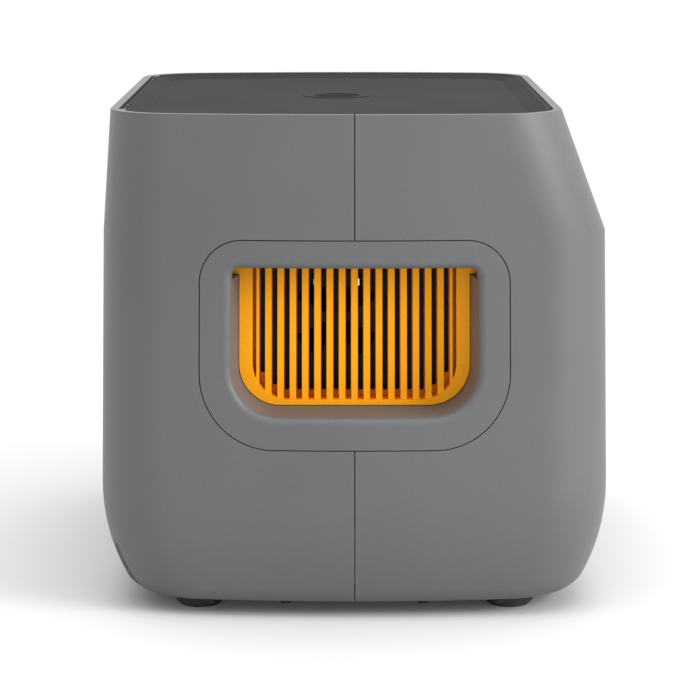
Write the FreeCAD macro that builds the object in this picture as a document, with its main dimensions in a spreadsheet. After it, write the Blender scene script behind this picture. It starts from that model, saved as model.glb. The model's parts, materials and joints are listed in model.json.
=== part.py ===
"""Filament dryer box for four spools: a two-half plastic housing with a vented handle recess in each side.

Frame: millimetres, +Z up, front towards -Y, origin on the ground at the middle of the footprint.
Every driving dimension is a cell of the sheet "Sizes"; sketches, primitives and placements read it.
"""

import FreeCAD, Part
import Sketcher
import math
import os
import re

Vector = FreeCAD.Vector
Rotation = FreeCAD.Rotation
Placement = FreeCAD.Placement

SIZES = [
    # housing
    ("width", 374, "outside width, left to right"),
    ("depth", 300, "outside depth, front to rear"),
    ("height", 291, "ground to rim"),
    ("skirt", 9, "ground to the lower edge of the shells"),
    ("wall", 3, "shell wall"),
    ("corner", 46, "plan corner radius"),
    ("corner_loss", 3, "how much smaller the corner radius is at the rim"),
    ("bow", 750, "plan radius of the bowed side faces"),
    ("tuck_top", 72, "height where the walls start to curve under"),
    ("tuck_ends", 18, "how far front and rear curve under"),
    ("tuck_sides", 10, "how far the side faces curve under"),
    ("toe", 3, "extra rounding at the lower edge of the shells"),
    ("crease", 219, "height of the crease below the sloping panel"),
    ("slope_front", 26, "setback of the rim at the front"),
    ("slope_rear", 4, "setback of the rim at the rear"),
    ("seam", 0.6, "gap between the two shells"),
    ("past", 1, "how far a cutter runs past what it cuts"),
    ("blend", 0.5, "how far two pieces of one moulding overlap"),
    ("rim", 5, "thickness of the rim"),
    ("ledge", 9, "rim to the inner edge of the ledge under the lid"),
    ("ledge_rear", 16, "the same at the hinge side"),
    ("ledge_top", 281, "height of the ledge"),
    ("deck_top", 272, "height of the chamber's deck, under the ledge"),
    ("boss", 5.5, "radius of the screw bosses"),
    ("boss_top", 36, "top of the screw bosses"),
    ("boss_x", 164, "screw bosses, from the middle"),
    ("boss_near", 40, "inner pair of bosses, from the middle"),
    ("boss_far", 84, "outer pair of bosses, from the middle"),
    ("boss_rib", 2, "thickness of the rib behind a boss"),
    # base and feet
    ("base_low", 8, "underside of the base plate"),
    ("base_high", 10.5, "top of the base plate"),
    ("base_gap", 0.4, "gap round the base plate"),
    ("foot", 17, "radius of a foot"),
    ("foot_taper", 3, "how much smaller a foot is on the ground"),
    ("foot_x", 140, "feet, from the middle"),
    ("foot_y", 91.3, "feet, from the middle"),
    ("foot_edge", 2, "rounding of a foot's lower edge"),
    # handle recess in each side
    ("panel_half", 90.6, "half width of the handle surround"),
    ("panel_low", 97.6, "lower edge of the surround"),
    ("panel_high", 218.6, "upper edge of the surround"),
    ("panel_corner_high", 25, "upper corner radius of the surround"),
    ("panel_corner_low", 43.6, "lower corner radius of the surround"),
    ("panel_gap", 0.6, "gap round the surround"),
    ("mouth_half", 73, "half width of the recess at its mouth"),
    ("mouth_low", 115.8, "lower edge of the recess at its mouth"),
    ("mouth_high", 201.9, "underside of the grip lip"),
    ("mouth_corner", 28.5, "lower corner radius of the recess"),
    ("mouth_round", 4.5, "rounding of the mouth's edge"),
    ("lip", 9, "thickness of the grip lip"),
    ("lip_room", 216, "top of the finger space behind the lip"),
    ("lip_corner", 5, "upper corner radius of the recess"),
    ("bowl_wall", 2.5, "wall of the recess"),
    # orange grille
    ("side_deep", 40, "how far the side parts reach in"),
    ("grille_gap", 0.3, "gap round the grille"),
    ("grille_crown", 4, "thickness of the grille's rim at the top"),
    ("slot_top_round", 0.4, "upper corner radius of a slot"),
    ("grille_half", 67.9, "half width of the grille"),
    ("grille_low", 118.8, "lower edge of the grille"),
    ("grille_high", 215, "upper edge of the grille"),
    ("grille_corner", 24, "lower corner radius of the grille"),
    ("grille_front", 30, "depth of the grille's rim behind the widest point"),
    ("rib_front", 32, "depth of the rib fronts"),
    ("slot_plate", 43.6, "depth of the front of the slot plate"),
    ("grille_back", 46, "depth of the grille's back"),
    ("grille_rim", 7.8, "width of the grille's rim at the sides"),
    ("grille_sill", 3, "width of the grille's rim at the bottom"),
    ("slots", 16, "number of slots"),
    ("slot_pitch", 7.26, "slot spacing"),
    ("slot_width", 2.8, "slot width at the back"),
    ("slot_mouth", 3.5, "gap between the ribs"),
    ("rib_end", 57.9, "outer side of the outer ribs, from the middle"),
    ("slot_low", 125, "lower end of the middle slots"),
    ("slot_step", 2.9, "how much the second slot from the end is shorter"),
    ("slot_end_step", 10.3, "how much the end slot is shorter"),
    ("slot_high", 209, "upper end of the slots"),
    ("ear_half", 71.6, "half width over the ears"),
    ("ear_low", 195.3, "lower edge of the ears"),
    # lid
    ("lid_gap", 1, "gap between lid and rim"),
    ("lid_low", 282.5, "underside of the lid tray"),
    ("lid_lip", 3.5, "flat edge of the lid"),
    ("dish_run", 13, "width of the slope round the dish"),
    ("dish_floor", 288, "height of the dish floor"),
    ("lid_plate_low", 286, "underside of the lid plate"),
    ("lid_wall", 2.5, "wall of the lid tray"),
    ("hinge_y", 138, "hinge axis"),
    ("hinge_z", 289, "hinge axis"),
    ("barrel", 2, "radius of the lid's hinge edge"),
    ("barrel_half", 143, "half length of the hinge edge"),
    ("corner_trim", 3, "hinge axis to the lid's rear edge beside the hinge"),
    ("corner_gap", 0.8, "gap between the lid's trimmed corners and the shell"),
    ("corner_fill", 16, "width of the shell's filled corners"),
    ("hinge_block", 10, "thickness of the lid's solid rear edge"),
    ("lug_gap", 0.3, "gap in front of a bracket lug"),
    ("pin_room", 0.5, "end play of a hinge pin"),
    ("hinge_x", 110, "middle of a hinge bracket"),
    ("hinge_notch", 4.3, "half width of the notch round a bracket"),
    ("lug", 1.9, "radius of a bracket lug"),
    ("lug_half", 4, "half width of a bracket"),
    ("pin", 1, "radius of a hinge pin"),
    ("pin_half", 18, "half length of a hinge pin"),
    ("running", 0.05, "radial clearance of turning pieces"),
    ("liner_low", 280, "underside of the lid's inner panel"),
    ("liner_gap", 1.5, "gap round the lid's inner panel"),
    ("seal", 2.2, "width of the lid seal"),
    ("seal_inset", 0.5, "seal to the edge of the lid"),
    ("seal_rear", 135.3, "rear edge of the seal"),
    # lid lock
    ("lock_y", 10.5, "middle of the lid, where the knob turns"),
    ("knob", 21.6, "radius of the knob"),
    ("knob_centre", 15.4, "radius of the knob's dished centre"),
    ("knob_low", 287, "floor of the knob's recess"),
    ("knob_high", 288.4, "top of the knob"),
    ("knob_dish", 0.7, "depth of the knob's dished centre"),
    ("knob_grip", 5, "width of the knob's grip bar"),
    ("knob_gap", 0.3, "gap round the knob"),
    ("spindle", 4, "radius of the knob's spindle"),
    ("spindle_flat", 2.8, "radius of the spindle inside the pinion"),
    ("gear_low", 283.1, "underside of pinion and lock bar"),
    ("gear_high", 285.6, "top of pinion and lock bar"),
    ("module_size", 0.8, "tooth module"),
    ("teeth", 12, "teeth of the pinion"),
    ("backlash", 0.12, "backlash between pinion and rack"),
    ("bar_far", 14, "far edge of the lock bar"),
    ("bar_rear", 27, "rear end of the lock bar"),
    ("bar_tip", 116, "tip of the lock bar when unlocked"),
    ("bar_neck", 104, "start of the lock bar's wide head"),
    ("bar_head", 25, "half width of the lock bar's head"),
    ("bar_room", 6, "room for the lock bar's head behind its neck"),
    ("pocket_gap", 0.5, "side gap of the lock bar's head in the rim"),
    ("lock_pocket_end", 100, "inner end of the pocket in the rim"),
    ("lock_pocket", 123.9, "depth of the pocket in the rim"),
    ("rail", 2, "width of a lock bar rail"),
    # chamber
    ("tub_half", 134, "half width of the tub, outside"),
    ("tub_y", 10.5, "middle of the tub, front to rear"),
    ("tub_deep", 108, "half depth of the tub, outside"),
    ("tub_wall", 2, "tub wall"),
    ("tub_low", 63.5, "underside of the tub"),
    ("tub_floor", 66, "floor of the tub"),
    ("tub_corner", 20, "corner radius of the tub"),
    ("deck", 2.5, "thickness of the deck round the tub"),
    ("air_slot", 20, "half length of the air slots"),
    ("floor_slot", 3.5, "width of a slot in the tub's floor"),
    ("floor_slot_pitch", 7, "spacing of those slots"),
    ("duct_lip", 4, "duct's end to the first of them"),
    ("intake", 3, "radius of an intake hole"),
    ("intake_pitch", 9, "spacing of the intake holes"),
    ("base_vent", 3, "width of a slot in the base plate"),
    ("base_vent_pitch", 8, "spacing of those slots"),
    ("port_z", 167, "middle of the air port in each end"),
    ("port", 26, "radius of the air port"),
    ("port_hub", 7, "radius of the port's hub"),
    ("port_angle", 42, "angle of each opening in the port"),
    ("port_count", 4, "openings in each port"),
    ("shutter", 28, "radius of the vent shutter"),
    ("shutter_gap", 0.8, "gap behind the shutter"),
    ("shutter_plate", 1.6, "thickness of the shutter"),
    ("shutter_pin", 2.5, "radius of the shutter's pin"),
    ("shutter_pin_length", 3.6, "length of the shutter's pin"),
    # rollers
    ("spool_z", 176, "axis of a spool on its rollers"),
    ("spool", 100, "radius of a spool"),
    ("roller", 12, "radius of a roller"),
    ("roller_angle", 35, "angle of the rollers from straight below the spool"),
    ("roller_half", 27, "half length of a roller"),
    ("bay", 66, "distance from one spool to the next"),
    ("shaft", 3, "radius of a roller shaft"),
    ("shaft_half", 131.5, "half length of a roller shaft"),
    ("support", 5, "thickness of a roller support"),
    ("support_top", 7, "roller support above the shaft"),
    ("support_half", 9, "half width of a roller support"),
    # air
    ("blower_x", 74, "middle of the blower"),
    ("blower", 48, "radius of the blower housing"),
    ("blower_low", 16, "underside of the blower"),
    ("blower_high", 50, "top of the blower"),
    ("blower_wall", 2, "wall of the blower"),
    ("blower_outlet", 24, "half width of the blower's outlet"),
    ("blower_inlet", 24, "radius of the blower's inlet"),
    ("impeller", 40, "radius of the blower wheel"),
    ("impeller_in", 30, "inner radius of the wheel's blades"),
    ("impeller_low", 21, "underside of the wheel"),
    ("impeller_high", 45, "top of the wheel"),
    ("blades", 30, "blades of the wheel"),
    ("blade", 1.2, "thickness of a blade"),
    ("motor", 12, "radius of the blower motor"),
    ("motor_top", 34, "top of the blower motor"),
    ("axle", 2, "radius of the motor's axle"),
    ("duct_left", -62, "left end of the heater duct"),
    ("duct_right", 20, "right end of the heater duct"),
    ("duct_half", 27, "half width of the heater duct"),
    ("duct_wall", 1.5, "wall of the heater duct"),
    ("heater_left", -14, "left side of the heater"),
    ("heater_right", 8, "right side of the heater"),
    ("fins", 15, "fins of the heater"),
    ("fin", 1, "thickness of a fin"),
    ("fin_inset", 1.5, "outer fins to the duct"),
    ("heater_bar", 3, "height of a bar across the fins"),
    # electronics
    ("supply_left", -158, "left side of the power supply"),
    ("supply_right", -80, "right side of the power supply"),
    ("supply_front", -60, "front of the power supply"),
    ("supply_rear", 40, "rear of the power supply"),
    ("supply_high", 48, "top of the power supply"),
    ("post", 3, "radius of a stand-off"),
    ("post_inset", 8, "stand-off to the edge of the power supply"),
    ("standoff", 4, "height of the stand-offs"),
    ("board", 1.6, "thickness of a circuit board"),
    ("board_left", 40, "left edge of the main board"),
    ("board_right", 150, "right edge of the main board"),
    ("board_front", -105, "front edge of the main board"),
    ("board_rear", -50, "rear edge of the main board"),
    # front panel, measured on the slope
    ("panel_cut", 20, "length of the cutters through the sloping panel"),
    ("panel_cut_low", 12, "start of those cutters, below the slope"),
    ("panel_shift", -4, "middle of display and buttons, up the slope"),
    ("glass_half", 59, "half width of the display glass"),
    ("glass_rise", 19, "half height of the display glass"),
    ("glass", 2, "thickness of the display glass"),
    ("glass_gap", 0.2, "gap round the display glass"),
    ("glass_edge", 4, "corner radius of the display glass"),
    ("module_low", 8, "back of the display module, below the slope"),
    ("panel_board", 9.4, "front of the display board, below the slope"),
    ("panel_board_left", -62, "left edge of the display board"),
    ("panel_board_right", 124, "right edge of the display board"),
    ("panel_board_rise", 20, "half height of the display board"),
    ("button_x", 78, "first button"),
    ("button_pitch", 18, "button spacing"),
    ("button", 5.8, "radius of a button"),
    ("button_gap", 0.08, "radial clearance of a button"),
    ("button_flange", 7, "radius of a button's flange"),
    ("button_flange_top", 3.4, "front of the flange, below the slope"),
    ("button_flange_low", 4.6, "back of the flange, below the slope"),
    ("button_stem", 2, "radius of a button's stem"),
    ("button_stem_low", 7.4, "end of a button's stem, below the slope"),
    ("switch_top", 8.4, "front of a key switch, below the slope"),
    ("switch_half", 3, "half width of a key switch"),
    # power panel in the rear
    ("rear_cut", 20, "length of the cutters through the rear"),
    ("niche_left", -152, "left side of the power niche"),
    ("niche_right", -71, "right side of the power niche"),
    ("niche_low", 12.5, "lower side of the power niche"),
    ("niche_high", 36.5, "upper side of the power niche"),
    ("niche_back", 126, "back of the power niche"),
    ("niche_wall", 1.8, "wall of the power niche"),
    ("niche_shoulder", 10, "solid shoulder of the power panel round the corner"),
    ("inlet_x", -128, "middle of the mains inlet"),
    ("power_z", 24.5, "middle of inlet and switch"),
    ("inlet_half", 13.5, "half width of the inlet body"),
    ("inlet_rise", 9.8, "half height of the inlet body"),
    ("inlet_deep", 106, "back of the inlet body"),
    ("inlet_socket_half", 12, "half width of the socket"),
    ("inlet_socket_rise", 8.2, "half height of the socket"),
    ("socket_back", 112, "back of the socket"),
    ("blade_half", 2, "half height of a contact blade"),
    ("blade_pitch", 7, "spacing of the contact blades"),
    ("switch_x", -89, "middle of the rocker switch"),
    ("rocker_half", 9.5, "half width of the switch body"),
    ("rocker_rise", 6.5, "half height of the switch body"),
    ("rocker_back", 112, "back of the switch body"),
    ("rocker_room_half", 8.7, "half width of the rocker's room"),
    ("rocker_room_rise", 5.3, "half height of the rocker's room"),
    ("rocker_long", 8, "half length of the rocker"),
    ("rocker_tall", 5.2, "half height of the rocker"),
    ("rocker_axis", 123, "axis of the rocker"),
    ("rocker_front", 128.5, "front of the rocker at its middle"),
    ("rocker_pin", 1.5, "radius of the rocker's pin"),
    ("bezel", 1.2, "thickness and overhang of the switch bezel"),
    # filament outlets
    ("outlet_z", 240, "height of the filament outlets"),
    ("outlet", 6, "radius of an outlet coupler"),
    ("outlet_in", 132, "inner end of a coupler"),
    ("outlet_out", 147.5, "outer end of a coupler"),
    ("outlet_bore", 2.1, "radius of the filament tube bore"),
    ("collet", 4, "radius of a release collet"),
    ("collet_head", 4.9, "radius of the collet's head"),
    ("collet_in", 137, "inner end of a collet"),
    ("collet_out", 148.6, "outer end of a collet"),
    ("collet_travel", 1, "travel of a collet"),
    # fasteners
    ("screw", 1.5, "radius of a screw"),
    ("screw_head", 3.2, "radius of a screw head"),
    ("screw_head_high", 1.8, "height of a screw head"),
    ("screw_length", 12, "length of a screw"),
    ("cable", 2.2, "radius of a cable"),
    ("cable_bend", 8, "bend radius of a cable"),
]

doc = FreeCAD.newDocument("FilamentDryerBox")
sheet = doc.addObject("Spreadsheet::Sheet", "Sizes")
for row, (alias, value, note) in enumerate(SIZES, start=1):
    sheet.set(f"A{row}", note)
    sheet.set(f"B{row}", str(value))
    sheet.setAlias(f"B{row}", alias)
doc.recompute()
NAMES = {alias for alias, _, _ in SIZES}
AXIS = {"X": Vector(1, 0, 0), "Y": Vector(0, 1, 0), "Z": Vector(0, 0, 1)}
LYING = {
    "X": Rotation(Vector(0, 1, 0), 90),
    "Y": Rotation(Vector(1, 0, 0), -90),
    "Z": Rotation(),
}
SIDE_PLANE = Rotation(Vector(1, 1, 1), 120)

BUTTONS = 3
FLOOR_SLOTS = 6
BASE_SLOTS = 6
SUPPLY_SLOTS = 9
BLADE_LEAN = 25
PRESSURE = math.radians(25)
RACK_AHEAD = 2
RACK_BEHIND = 5
TOE_SHARE = 0.12
TUCK_SHARES = (0, 0.02, 0.045, 0.08, 0.12, 0.19, 0.27, 0.35, 0.44, 0.53, 0.62, 0.72, 0.81, 0.9, 1)
NODES = {}


# ---------------------------------------------------------------- sheet and document helpers

def formula(text):
    """An expression in which each cell's name is written out in full."""
    return re.sub(r"[a-z_]+", lambda m: "Sizes." + m.group() if m.group() in NAMES else m.group(),
                  str(text))


def number(text):
    """The present value of an expression of cell names."""
    return float(sheet.evalExpression(formula(text)))


def bind(target, **values):
    """Bind properties to expressions; two underscores stand for a dot."""
    for name, value in values.items():
        target.setExpression(name.replace("__", "."), formula(value))
    return target


def place(target, x, y, z):
    """Bind the position to expressions."""
    target.setExpression("Placement.Base.x", formula(x))
    target.setExpression("Placement.Base.y", formula(y))
    target.setExpression("Placement.Base.z", formula(z))
    return target


def node(name, source):
    """Name a finished sub-part; its label is the name of its file."""
    source.Label = name
    NODES[name] = source
    return source


def block(name, x, y, z):
    """A box between two expressions on each axis."""
    box = doc.addObject("Part::Box", name)
    spans = [(formula(low), formula(high)) for low, high in (x, y, z)]
    for size, (low, high) in zip(("Length", "Width", "Height"), spans):
        box.setExpression(size, f"({high}) - ({low})")
    return place(box, x[0], y[0], z[0])


def rod(name, radius, start, length, along="Z"):
    """A cylinder from a start point along an axis."""
    cylinder = doc.addObject("Part::Cylinder", name)
    cylinder.Placement = Placement(Vector(), LYING[along])
    bind(cylinder, Radius=radius, Height=length)
    return place(cylinder, *start)


def fuse(name, pieces):
    """All pieces as one solid."""
    result = doc.addObject("Part::MultiFuse", name)
    result.Shapes = pieces
    return result


def group(name, pieces):
    """Separate solids kept together."""
    result = doc.addObject("Part::Compound", name)
    result.Links = pieces
    return result


def cut(name, base, tools):
    """A base less one tool or several."""
    result = doc.addObject("Part::Cut", name)
    result.Base = base
    result.Tool = tools[0] if len(tools) == 1 else fuse(name + "_tools", tools)
    return result


def common(name, one, other):
    """What two solids share."""
    result = doc.addObject("Part::Common", name)
    result.Base = one
    result.Tool = other
    return result


def mirror(name, source, axis):
    """The mirror image across the middle of the box."""
    result = doc.addObject("Part::Mirroring", name)
    result.Source = source
    result.Normal = AXIS[axis]
    return result


def extrude(name, profile, length):
    """A profile pushed along its normal."""
    result = doc.addObject("Part::Extrusion", name)
    result.Base = profile
    result.DirMode = "Normal"
    result.Solid = True
    return bind(result, LengthFwd=length)


def loft(name, sections, ruled=False):
    """A solid through a row of outlines."""
    result = doc.addObject("Part::Loft", name)
    result.Sections = sections
    result.Solid = True
    result.Ruled = ruled
    return result


def dimension(sketch, constraint, expression):
    """A constraint whose value follows the sheet."""
    index = sketch.addConstraint(constraint)
    sketch.setExpression(f"Constraints[{index}]", formula(expression))


# ---------------------------------------------------------------- outlines

def plan_outline(name, level, half, front, rear, corner, bow):
    """The housing's plan: straight front and rear, round corners, bowed sides split at the seam."""
    sketch = doc.addObject("Sketcher::SketchObject", name)
    w, f, r, c, b = (number(value) for value in (half, front, rear, corner, bow))
    bow_x = w - b
    front_x = bow_x + math.sqrt((b - c) ** 2 - (f - c) ** 2)
    rear_x = bow_x + math.sqrt((b - c) ** 2 - (r - c) ** 2)
    front_turn = math.atan2(f - c, front_x - bow_x)
    rear_turn = math.atan2(r - c, rear_x - bow_x)
    up = AXIS["Z"]
    quarter = math.pi / 2

    def arc(x, y, radius, start, end):
        return Part.ArcOfCircle(Part.Circle(Vector(x, y, 0), up, radius), start, end)

    sketch.addGeometry([
        Part.LineSegment(Vector(-front_x, -f, 0), Vector(front_x, -f, 0)),
        arc(front_x, c - f, c, -quarter, -front_turn),
        arc(bow_x, 0, b, -front_turn, 0),
        arc(bow_x, 0, b, 0, rear_turn),
        arc(rear_x, r - c, c, rear_turn, quarter),
        Part.LineSegment(Vector(rear_x, r, 0), Vector(-rear_x, r, 0)),
        arc(-rear_x, r - c, c, quarter, 2 * quarter - rear_turn),
        arc(-bow_x, 0, b, 2 * quarter - rear_turn, 2 * quarter),
        arc(-bow_x, 0, b, 2 * quarter, 2 * quarter + front_turn),
        arc(-front_x, c - f, c, 2 * quarter + front_turn, 3 * quarter),
    ], False)
    bows = (2, 3, 7, 8)
    seams = (2, 7)
    edges = 10
    for edge in range(edges):
        kind = "Coincident" if edge in seams else "Tangent"
        sketch.addConstraint(Sketcher.Constraint(kind, edge, 2, (edge + 1) % edges, 1))
    for edge in (0, 5):
        sketch.addConstraint(Sketcher.Constraint("Horizontal", edge))
    for edge in bows:
        sketch.addConstraint(Sketcher.Constraint("PointOnObject", edge, 3, -1))
        dimension(sketch, Sketcher.Constraint("Radius", edge, b), bow)
    for edge in (1, 4, 6, 9):
        dimension(sketch, Sketcher.Constraint("Radius", edge, c), corner)
    for edge in seams:
        sketch.addConstraint(Sketcher.Constraint("PointOnObject", edge, 2, -1))
    dimension(sketch, Sketcher.Constraint("DistanceX", -1, 1, 2, 2, w), half)
    dimension(sketch, Sketcher.Constraint("DistanceX", 7, 2, -1, 1, w), half)
    dimension(sketch, Sketcher.Constraint("DistanceY", 0, 1, -1, 1, f), front)
    dimension(sketch, Sketcher.Constraint("DistanceY", -1, 1, 5, 1, r), rear)
    sketch.setExpression("Placement.Base.z", formula(level))
    return sketch


def rounded_outline(name, across, up, low_radius, high_radius):
    """A rectangle with one radius at its lower corners and another at its upper ones."""
    sketch = doc.addObject("Sketcher::SketchObject", name)
    a0, a1, u0, u1, rl, rh = (number(value) for value in (*across, *up, low_radius, high_radius))
    normal = AXIS["Z"]
    quarter = math.pi / 2

    def arc(x, y, radius, start):
        return Part.ArcOfCircle(Part.Circle(Vector(x, y, 0), normal, radius), start, start + quarter)

    sketch.addGeometry([
        Part.LineSegment(Vector(a0 + rl, u0, 0), Vector(a1 - rl, u0, 0)),
        arc(a1 - rl, u0 + rl, rl, -quarter),
        Part.LineSegment(Vector(a1, u0 + rl, 0), Vector(a1, u1 - rh, 0)),
        arc(a1 - rh, u1 - rh, rh, 0),
        Part.LineSegment(Vector(a1 - rh, u1, 0), Vector(a0 + rh, u1, 0)),
        arc(a0 + rh, u1 - rh, rh, quarter),
        Part.LineSegment(Vector(a0, u1 - rh, 0), Vector(a0, u0 + rl, 0)),
        arc(a0 + rl, u0 + rl, rl, 2 * quarter),
    ], False)
    edges = 8
    for edge in range(edges):
        sketch.addConstraint(Sketcher.Constraint("Tangent", edge, 2, (edge + 1) % edges, 1))
    for edge in (0, 4):
        sketch.addConstraint(Sketcher.Constraint("Horizontal", edge))
    for edge in (2, 6):
        sketch.addConstraint(Sketcher.Constraint("Vertical", edge))
    for edge, radius, expression in ((1, rl, low_radius), (7, rl, low_radius), (3, rh, high_radius),
                                     (5, rh, high_radius)):
        dimension(sketch, Sketcher.Constraint("Radius", edge, radius), expression)
    dimension(sketch, Sketcher.Constraint("DistanceX", -1, 1, 6, 1, a0), across[0])
    dimension(sketch, Sketcher.Constraint("DistanceX", -1, 1, 2, 1, a1), across[1])
    dimension(sketch, Sketcher.Constraint("DistanceY", -1, 1, 0, 1, u0), up[0])
    dimension(sketch, Sketcher.Constraint("DistanceY", -1, 1, 4, 1, u1), up[1])
    return sketch


def side_outline(name, x, across, up, low_radius, high_radius):
    """A rounded rectangle standing across the box at a given X."""
    sketch = rounded_outline(name, across, up, low_radius, high_radius)
    sketch.Placement = Placement(Vector(), SIDE_PLANE)
    return place(sketch, x, "0", "0")


def side_prism(name, x, across, up, low_radius, high_radius):
    """A rounded rectangle pushed along X between two expressions."""
    outline = side_outline(name + "_outline", x[0], across, up, low_radius, high_radius)
    return extrude(name, outline, f"({x[1]}) - ({x[0]})")


def tuck_outline(name, share, inset):
    """The plan at a share of the height of the part that curves under."""
    level = f"(skirt + {share} * (tuck_top - skirt))"
    drop = f"((1 - {share}) * (tuck_top - skirt))"
    toe = f"(toe * {max(0.0, 1 - share / TOE_SHARE) ** 2})"

    def curve(reach):
        radius = f"(((tuck_top - skirt)^2 + {reach}^2) / (2 * {reach}))"
        return f"({radius} - sqrt({radius}^2 - {drop}^2) + {toe} + {inset})"

    ends, sides = curve("tuck_ends"), curve("tuck_sides")
    return plan_outline(name, level, f"width / 2 - {sides}", f"depth / 2 - {ends}", f"depth / 2 - {ends}",
                        f"corner - {inset}", f"bow - {inset}")


def rim_outline(name, level, share, inset, rear_inset=None):
    """The plan at a share of the way from the crease to the rim."""
    rear = inset if rear_inset is None else rear_inset
    return plan_outline(name, level, f"width / 2 - ({inset})",
                        f"depth / 2 - slope_front * {share} - ({inset})",
                        f"depth / 2 - slope_rear * {share} - ({rear})",
                        f"corner - corner_loss * {share} - ({inset})", f"bow - ({inset})")


def rim_prism(name, low, high, inset, rear_inset=None):
    """A straight-walled block with the outline of the rim."""
    return extrude(name, rim_outline(name + "_outline", low, "1", inset, rear_inset), f"({high}) - ({low})")


def housing_solid(name, inset, top, top_share):
    """The housing filled solid, or its inner space when inset by the wall."""
    tuck = loft(name + "_tuck", [tuck_outline(f"{name}_tuck_{i}", share, inset)
                                 for i, share in enumerate(TUCK_SHARES)], ruled=True)
    middle = extrude(name + "_middle", rim_outline(name + "_waist", "tuck_top", "0", inset),
                     "crease - tuck_top")
    crown = loft(name + "_crown", [rim_outline(name + "_crease", "crease", "0", inset),
                                   rim_outline(name + "_rim", top, top_share, inset)], ruled=True)
    return fuse(name, [tuck, middle, crown])


# ---------------------------------------------------------------- housing

def make_housing():
    """Both shells and what is let into their sides."""
    outer = housing_solid("outer", "0", "height", "1")
    inner = housing_solid("inner", "wall", "deck_top", "((deck_top - crease) / (height - crease))")
    band = cut("band", outer, [
        inner,
        rim_prism("ledge_hole", "deck_top - past", "ledge_top + past", "ledge", "ledge_rear"),
        rim_prism("lid_hole", "ledge_top", "height + past", "rim"),
    ])
    bosses = []
    for i, (x, y) in enumerate(boss_spots()):
        column = rod(f"boss_{i}", "boss", (x, y, "base_high"), "boss_top - base_high")
        outward = ("boss_x", "width / 2") if x.startswith("+") else ("-width / 2", "-boss_x")
        rib = block(f"boss_rib_{i}", outward, (f"{y} - boss_rib / 2", f"{y} + boss_rib / 2"),
                    ("base_high", "boss_top"))
        bosses.append(common(f"boss_in_{i}", fuse(f"boss_and_rib_{i}", [column, rib]), outer))
    corner_near = "(barrel_half + corner_gap)"
    fillers = [block(f"corner_filler_{i}", span,
                     ("hinge_y - corner_trim + corner_gap", "depth / 2 - slope_rear - rim + past"),
                     ("ledge_top - past", "height"))
               for i, span in enumerate(((f"-{corner_near} - corner_fill", f"-{corner_near}"),
                                         (corner_near, f"{corner_near} + corner_fill")))]
    fillers = [common(f"corner_in_{i}", filler, outer) for i, filler in enumerate(fillers)]
    raw = fuse("band_with_bosses", [band, *bosses, *fillers])
    openings = [
        side_prism(f"panel_hole_{side}", span, ("-panel_half", "panel_half"), ("panel_low", "panel_high"),
                   "panel_corner_low", "panel_corner_high")
        for side, span in (("left", ("-width / 2 - past", "-width / 2 + side_deep")),
                           ("right", ("width / 2 - side_deep", "width / 2 + past")))
    ]
    openings += base_screw_holes()
    front_half = block("front_half", ("-width", "width"), ("-depth", "-seam / 2"), ("0", "height"))
    rear_half = block("rear_half", ("-width", "width"), ("seam / 2", "depth"), ("0", "height"))
    shell = cut("both_shells", raw, openings)
    node("front_shell", cut("front_shell", common("front_raw", shell, front_half), front_cutters()))
    node("rear_shell", cut("rear_shell", common("rear_raw", shell, rear_half), rear_cutters()))
    return outer, band


def boss_spots():
    """The plan positions of the shell screws."""
    return [(f"{sx}boss_x", f"{sy}{reach}") for sx in "+-" for sy in "+-"
            for reach in ("boss_near", "boss_far")]


def base_screw_holes():
    """Blind holes in the bosses, filled by the screws."""
    return [rod(f"boss_hole_{i}", "screw", (x, y, "base_low - past"), "screw_length + 2 * past")
            for i, (x, y) in enumerate(boss_spots())]


def front_cutters():
    """Openings for display, buttons and lock bar."""
    window = on_slope(rounded_prism("window", ("-glass_half - glass_gap", "glass_half + glass_gap"),
                                    ("-glass_rise - glass_gap", "glass_rise + glass_gap"), "panel_cut",
                                    "glass_edge"), "0", "0", "-panel_cut_low")
    keys = [on_slope(rod(f"button_hole_{i}", "button + button_gap", ("0", "0", "0"), "panel_cut"),
                     f"button_x + {i} * button_pitch", "0", "-panel_cut_low") for i in range(BUTTONS)]
    pocket = block("lock_pocket", ("-bar_head - pocket_gap", "bar_head + pocket_gap"),
                   ("-lock_pocket", "-lock_pocket_end"),
                   ("gear_low - knob_gap", "gear_high + knob_gap"))
    return [window, *keys, pocket]


def rear_cutters():
    """Openings for the power niche and the filament outlets."""
    niche = block("niche_hole", ("niche_left", "niche_right"),
                  ("niche_back - rear_cut", "depth / 2 + past"),
                  ("niche_low", "niche_high"))
    outlets = [rod(f"outlet_hole_{i}", "outlet", (x, "outlet_in - rear_cut", "outlet_z"), "2 * rear_cut",
                   "Y")
               for i, x in enumerate(outlet_spots())]
    return [niche, *outlets]


def outlet_spots():
    """The X of each filament outlet: one behind each spool."""
    return [f"{step} * bay" for step in (-1.5, -0.5, 0.5, 1.5)]


def rounded_prism(name, across, up, length, radius):
    """A rounded rectangle pushed along +Z from the origin plane."""
    return extrude(name, rounded_outline(name + "_outline", across, up, radius, radius), length)


def on_slope(target, x, up, out):
    """Place a piece on the sloping panel: local X across, local Y up the slope, local Z out of it."""
    tilt = "atan((height - crease) / slope_front)"
    target.Placement = Placement(Vector(), Rotation(Vector(1, 0, 0), 1))
    target.setExpression("Placement.Rotation.Angle", formula(tilt))
    middle_y = "(-depth / 2 + slope_front / 2)"
    middle_z = "((crease + height) / 2)"
    rise = f"({up} + panel_shift)"
    return place(target, x, f"{middle_y} + {rise} * cos({tilt}) - ({out}) * sin({tilt})",
                 f"{middle_z} + {rise} * sin({tilt}) + ({out}) * cos({tilt})")


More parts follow.
